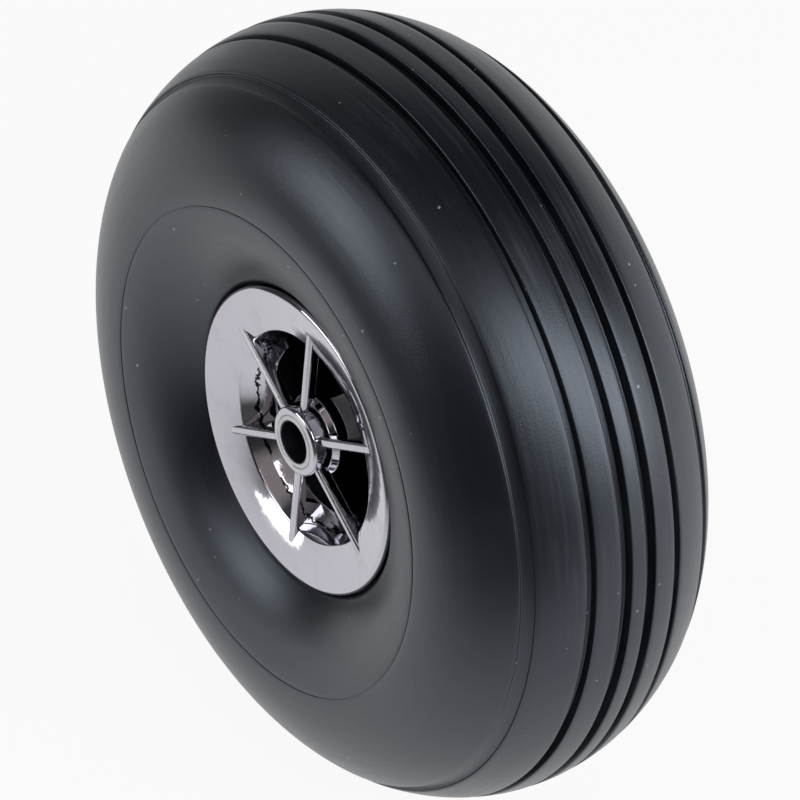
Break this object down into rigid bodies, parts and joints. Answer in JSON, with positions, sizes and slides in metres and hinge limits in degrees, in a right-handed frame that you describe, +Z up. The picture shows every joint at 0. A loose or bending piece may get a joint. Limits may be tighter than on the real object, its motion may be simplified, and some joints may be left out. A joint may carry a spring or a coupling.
{
  "type": "model aircraft wheel",
  "caption": "Landing-gear wheel for a model aircraft: a wide hollow rubber tyre with circumferential tread grooves on a plated spoked hub with a plain axle bore.",
  "frame": {"origin": "centre of the wheel, on the axle's line, midway between the two hub halves", "axes": "+Y along the axle towards the inner face, so the face with the visible spokes looks along -Y; +Z up, +X across"},
  "size_m": [0.075, 0.0292, 0.075],
  "materials": {
    "tyre": "satin black rubber with a soft sheen",
    "plated_hub": "bright chrome plating over a moulding",
    "plated_sleeve": "bright plated tube"
  },
  "bodies": {
    "root": {"tyre": "tyre", "hub_front": "plated_hub", "hub_rear": "plated_hub", "axle_sleeve": "plated_sleeve"}
  },
  "joints": []
}
